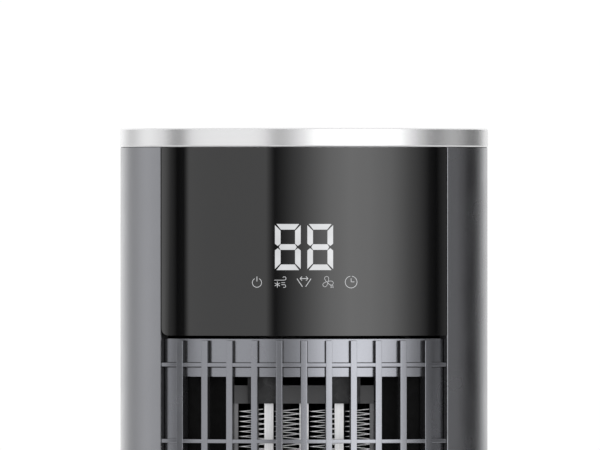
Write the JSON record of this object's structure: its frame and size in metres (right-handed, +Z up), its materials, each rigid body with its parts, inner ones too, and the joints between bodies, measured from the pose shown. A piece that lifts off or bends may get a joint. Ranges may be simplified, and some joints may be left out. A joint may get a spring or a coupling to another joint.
{
  "type": "ceramic tower space heater",
  "caption": "Round tower space heater with a gloss touch display, barred warm-air outlet, tall blower and swinging base.",
  "frame": {"origin": "centre of the round base, on the plane of its rubber feet", "axes": "+Z up along the swing axis, -Y out of the warm-air outlet, +X to the right of someone facing the outlet"},
  "size_m": [0.24, 0.24, 0.62],
  "materials": {
    "rubber": "matt black",
    "base_plastic": "satin moulded",
    "zinc_steel": "zinc plated",
    "white_acetal": "satin",
    "black_plastic": "fine textured",
    "satin_grey": "satin metallic paint",
    "grille_grey": "satin metallic paint",
    "silver_ring": "satin anodised",
    "lid_black": "gloss",
    "window_black": "high gloss",
    "light_white": "translucent",
    "board_green": "solder mask",
    "bright_metal": "bare",
    "brass": "bare",
    "bronze": "sintered",
    "copper": "wound",
    "steel": "ground",
    "lead_cover": "silicone",
    "filter_net": "nylon net"
  },
  "bodies": {
    "base": {"rubber_feet": "rubber", "base_plate": "base_plastic", "base_cover": "base_plastic", "ballast_ring": "zinc_steel", "slip_ring": "white_acetal", "swing_gear": "white_acetal", "gear_screws": "zinc_steel", "base_screws": "zinc_steel", "tip_spring": "zinc_steel", "tip_guide": "black_plastic", "tip_switch": "black_plastic", "cord_gland": "rubber"},
    "tip_plunger": {"tip_plunger": "black_plastic"},
    "blower": {"blower_wheel": "black_plastic", "blower_shaft": "steel", "motor_rotor": "steel"},
    "osc_pinion": {"osc_pinion": "white_acetal"},
    "rocker": {"rocker": "black_plastic"},
    "filter_cover": {"filter_cover": "satin_grey", "filter_frame": "black_plastic", "filter_mesh": "filter_net"},
    "tower": {"tower_floor": "black_plastic", "rear_housing": "satin_grey", "front_grille": "grille_grey", "top_ring": "silver_ring", "top_cap": "lid_black", "display_window": "window_black", "display_carrier": "black_plastic", "display_board": "board_green", "digit_module": "black_plastic", "digit_segments": "light_white", "icon_guides": "light_white", "touch_springs": "bright_metal", "buzzer": "black_plastic", "handle_cup": "black_plastic", "duct_top": "black_plastic", "duct_bottom": "black_plastic", "scroll_wall": "black_plastic", "vortex_wall": "black_plastic", "ptc_rails": "bright_metal", "ptc_tubes": "bright_metal", "ptc_fins": "bright_metal", "ptc_end_caps": "black_plastic", "ptc_terminals": "brass", "ptc_brackets": "zinc_steel", "thermal_cutout": "black_plastic", "thermistor": "black_plastic", "motor_can": "zinc_steel", "motor_stator": "copper", "motor_grommets": "rubber", "top_bush": "bronze", "power_board": "board_green", "relays": "black_plastic", "capacitors": "black_plastic", "board_posts": "black_plastic", "osc_motor": "zinc_steel", "osc_bracket": "zinc_steel", "rocker_case": "black_plastic", "tower_screws": "zinc_steel", "inner_leads": "lead_cover"}
  },
  "joints": [
    {"name": "swing", "type": "hinge", "parent": "base", "child": "tower", "pos_m": [0, 0, 0.037], "axis": [0, 0, 1], "range_deg": [-35, 35]},
    {"name": "pinion_spin", "type": "hinge", "parent": "tower", "child": "osc_pinion", "pos_m": [0.03205, 0, 0.037], "axis": [0, 0, 1], "range_deg": [-106, 106]},
    {"name": "blower_spin", "type": "hinge", "parent": "tower", "child": "blower", "pos_m": [0, 0.00953, 0.1079], "axis": [0, 0, 1], "continuous": true},
    {"name": "power_rocker", "type": "hinge", "parent": "tower", "child": "rocker", "pos_m": [0, 0.0884, 0.1], "axis": [1, 0, 0], "range_deg": [0, 16]},
    {"name": "filter_cover_tilt", "type": "hinge", "parent": "tower", "child": "filter_cover", "pos_m": [0, 0.0908, 0.175], "axis": [-1, 0, 0], "range_deg": [0, 40]},
    {"name": "tip_travel", "type": "slide", "parent": "base", "child": "tip_plunger", "axis": [0, 0, -1], "range_m": [0, 0.004], "stiffness_N_per_m": 100, "springref_m": 0.012, "deforming": ["tip_spring"]}
  ],
  "couplings": [
    {"joint": "pinion_spin", "follows": "swing", "ratio": 3}
  ]
}
